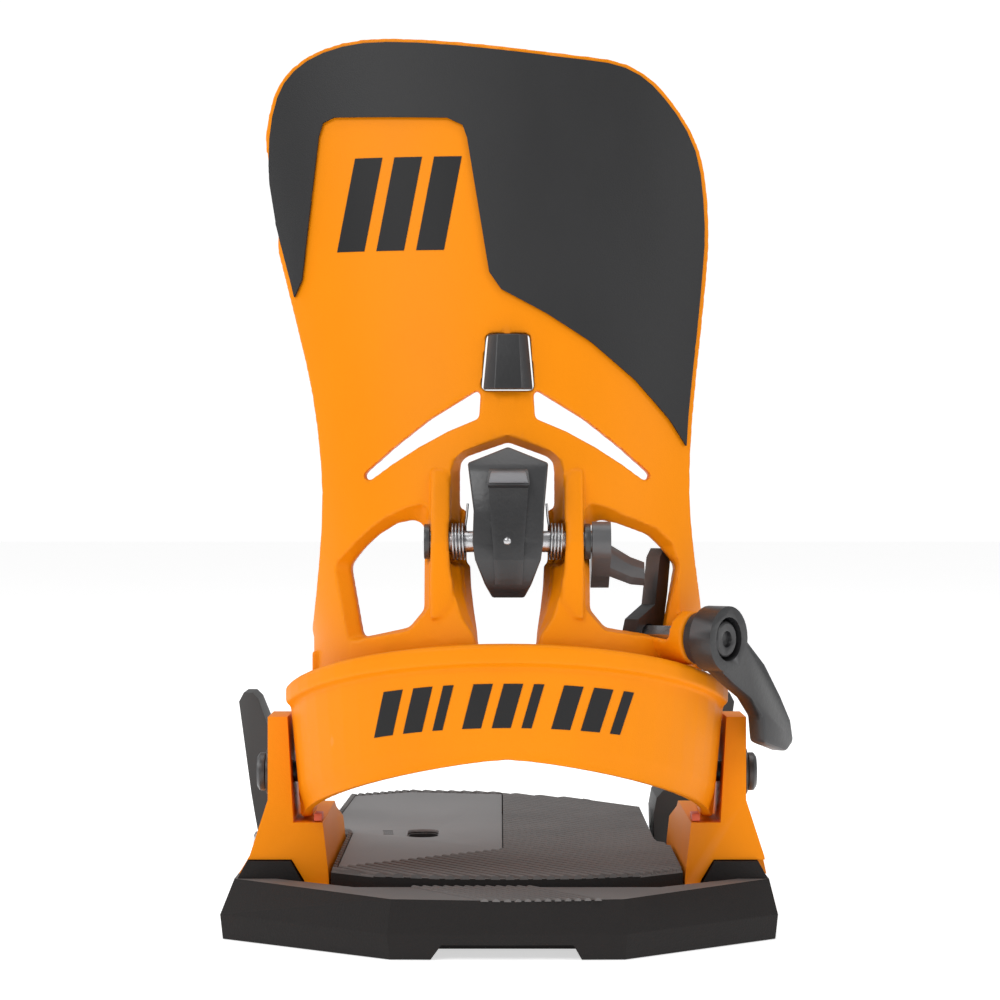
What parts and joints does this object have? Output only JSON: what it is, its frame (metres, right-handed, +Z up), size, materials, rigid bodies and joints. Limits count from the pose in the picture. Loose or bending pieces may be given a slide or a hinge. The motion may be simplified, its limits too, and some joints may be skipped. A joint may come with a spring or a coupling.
{
  "type": "snowboard binding",
  "caption": "Step-in snowboard binding with a foam base, heelcup, folding highback, sprung heel latch with a side release lever, and toe hooks.",
  "frame": {"origin": "centre of the mounting disc on the surface of the board", "axes": "+Y to the toes, +X to the outer side of a right foot, +Z up from the board"},
  "size_m": [0.1722, 0.2842, 0.2599],
  "materials": {
    "orange_nylon": "satin moulded nylon",
    "dark_nylon": "satin moulded nylon",
    "dark_foam": "matte foam rubber",
    "grey_rubber": "smooth matte rubber",
    "black_metal": "black coated cast metal",
    "steel": "bright steel",
    "amber_rubber": "satin rubber"
  },
  "bodies": {
    "base": {"base_cushion": "dark_foam", "chassis": "orange_nylon", "footbed": "dark_nylon", "footbed_pad": "grey_rubber", "heelcup": "orange_nylon", "heelcup_washer_left": "steel", "heelcup_washer_right": "steel", "heelcup_bolt_left": "black_metal", "heelcup_bolt_right": "black_metal", "heelcup_nut_left": "black_metal", "heelcup_nut_right": "black_metal", "spacer_block_left": "amber_rubber", "spacer_block_right": "amber_rubber", "toe_hook_left": "dark_nylon", "toe_hook_right": "dark_nylon", "toe_hook_screw_left_rear": "steel", "toe_hook_screw_left_front": "steel", "toe_hook_screw_right_rear": "steel", "toe_hook_screw_right_front": "steel", "highback_pin_left": "steel", "highback_pin_right": "steel"},
    "disc": {"mounting_disc": "dark_nylon", "board_screw_1": "steel", "board_screw_2": "steel", "board_screw_3": "steel", "board_screw_4": "steel"},
    "ramp": {"toe_ramp": "dark_nylon"},
    "highback": {"highback_shell": "orange_nylon", "highback_cover": "dark_nylon", "highback_pad": "dark_foam", "axle_cap": "black_metal", "axle_washer": "black_metal"},
    "slider": {"lean_slider": "black_metal"},
    "latch": {"heel_latch": "black_metal", "latch_rivet": "steel", "latch_axle": "steel", "latch_spring_left": "steel", "latch_spring_right": "steel", "release_crank": "black_metal"},
    "release": {"release_lever": "black_metal", "lever_flange": "black_metal", "release_shaft": "steel", "lever_screw": "steel", "release_cam": "dark_nylon"}
  },
  "joints": [
    {"name": "disc_turn", "type": "hinge", "parent": "base", "child": "disc", "pos_m": [0, 0, 0], "axis": [0, 0, 1], "range_deg": [-90, 90]},
    {"name": "toe_ramp_slide", "type": "slide", "parent": "base", "child": "ramp", "axis": [0, 1, 0], "range_m": [0, 0.012]},
    {"name": "highback_fold", "type": "hinge", "parent": "base", "child": "highback", "pos_m": [0, -0.08, 0.06], "axis": [-1, 0, 0], "range_deg": [0, 72]},
    {"name": "lean_button", "type": "slide", "parent": "highback", "child": "slider", "axis": [0, 1, 0], "range_m": [0, 0.003], "stiffness_N_per_m": 900},
    {"name": "release_turn", "type": "hinge", "parent": "highback", "child": "release", "pos_m": [0.047, -0.1031, 0.0862], "axis": [0.7771, -0.6293, 0], "range_deg": [0, 20], "stiffness_Nm_per_rad": 0.5},
    {"name": "latch_turn", "type": "hinge", "parent": "highback", "child": "latch", "pos_m": [0, -0.1125, 0.1134], "axis": [1, 0, 0], "range_deg": [-30, 0], "stiffness_Nm_per_rad": 0.5}
  ],
  "couplings": [
    {"joint": "latch_turn", "follows": "release_turn", "ratio": -1.5}
  ]
}
